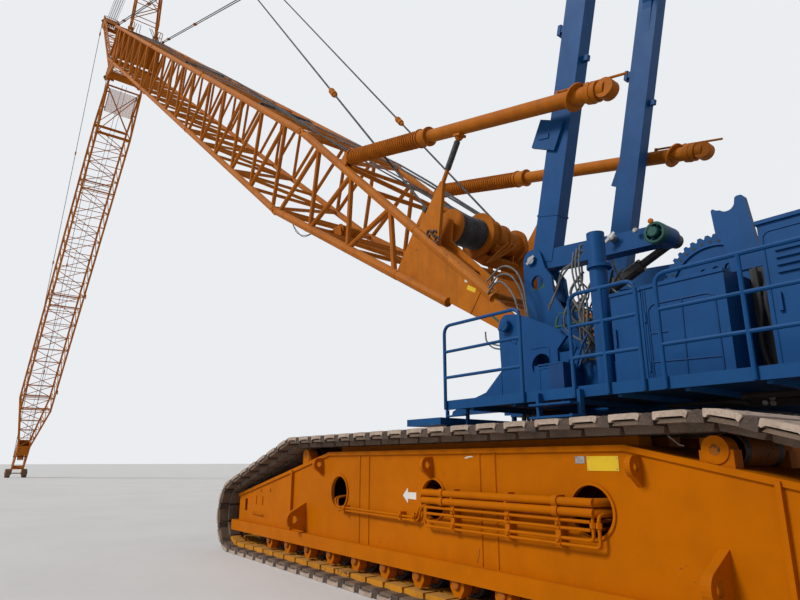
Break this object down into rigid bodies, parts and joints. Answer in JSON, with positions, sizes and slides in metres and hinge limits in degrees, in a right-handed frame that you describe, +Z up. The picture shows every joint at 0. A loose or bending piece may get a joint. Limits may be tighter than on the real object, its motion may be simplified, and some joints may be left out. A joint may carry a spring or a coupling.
{
  "type": "crawler crane with lattice boom and luffing jib, 1:2 scale model",
  "caption": "Crawler crane parked with its luffing jib's wheels on the ground, golden orange and blue, with lattice boom, jib, two masts, A-frame and backstops, at half size",
  "frame": {"origin": "on the ground below the slewing axis", "axes": "+X to the front of the crawlers, +Y to their left, +Z up"},
  "size_m": [37.9429, 5, 23.0561],
  "materials": {
    "orange_paint": "satin, dusty",
    "blue_paint": "satin, dusty",
    "worn_steel": "worn, with dry earth",
    "rope_steel": "greased",
    "window_glass": "tinted, clear"
  },
  "bodies": {
    "undercarriage": {"carbody": "orange_paint", "slewing_ring": "worn_steel", "track_frame_left": "orange_paint", "track_frame_right": "orange_paint", "tie_lugs": "orange_paint", "track_left": "worn_steel", "track_right": "worn_steel", "rollers": "worn_steel", "end_wheels": "worn_steel", "track_pipes": "orange_paint"},
    "superstructure": {"main_frame": "blue_paint", "walkways": "blue_paint", "handrails": "blue_paint", "cabinets": "blue_paint", "engine_house": "blue_paint", "winch_drums": "blue_paint", "support_posts": "blue_paint", "a_frame": "blue_paint", "a_frame_head": "blue_paint", "a_frame_ropes": "rope_steel", "erecting_cylinders": "worn_steel", "cab_shell": "blue_paint", "cab_glass": "window_glass", "counterweight_base": "orange_paint", "counterweight_slabs": "orange_paint", "counterweight_eyes": "orange_paint"},
    "boom": {"boom_foot": "orange_paint", "boom_winches": "orange_paint", "boom_section_1": "orange_paint", "boom_section_2": "orange_paint", "boom_section_3": "orange_paint", "boom_head": "orange_paint", "backstops": "orange_paint", "backstop_struts": "orange_paint", "rear_mast": "orange_paint", "boom_stays": "rope_steel"},
    "jib": {"jib_foot": "orange_paint", "jib_section_1": "orange_paint", "jib_section_2": "orange_paint", "jib_head": "orange_paint", "front_mast": "orange_paint", "jib_stays": "rope_steel"},
    "jib_wheels": {"tip_wheels": "orange_paint"},
    "door": {"cab_door": "blue_paint", "cab_door_glass": "window_glass"}
  },
  "joints": [
    {"name": "slew", "type": "hinge", "parent": "undercarriage", "child": "superstructure", "pos_m": [0, 0, 1.03], "axis": [0, 0, 1], "continuous": true},
    {"name": "boom_luff", "type": "hinge", "parent": "superstructure", "child": "boom", "pos_m": [0.85905, 0.04051, 1.85], "axis": [-0.0471, 0.9989, 0], "range_deg": [-40, 0]},
    {"name": "jib_luff", "type": "hinge", "parent": "boom", "child": "jib", "pos_m": [20.87515, 0.98445, 15.24958], "axis": [0.0471, -0.9989, 0], "range_deg": [0, 45]},
    {"name": "jib_wheel_spin", "type": "hinge", "parent": "jib", "child": "jib_wheels", "pos_m": [34.135, 1.60977, 0.21], "axis": [-0.0471, 0.9989, 0], "continuous": true},
    {"name": "cab_door_swing", "type": "hinge", "parent": "superstructure", "child": "door", "pos_m": [0.56545, -1.46099, 1.675], "axis": [0, 0, -1], "range_deg": [0, 95]}
  ]
}
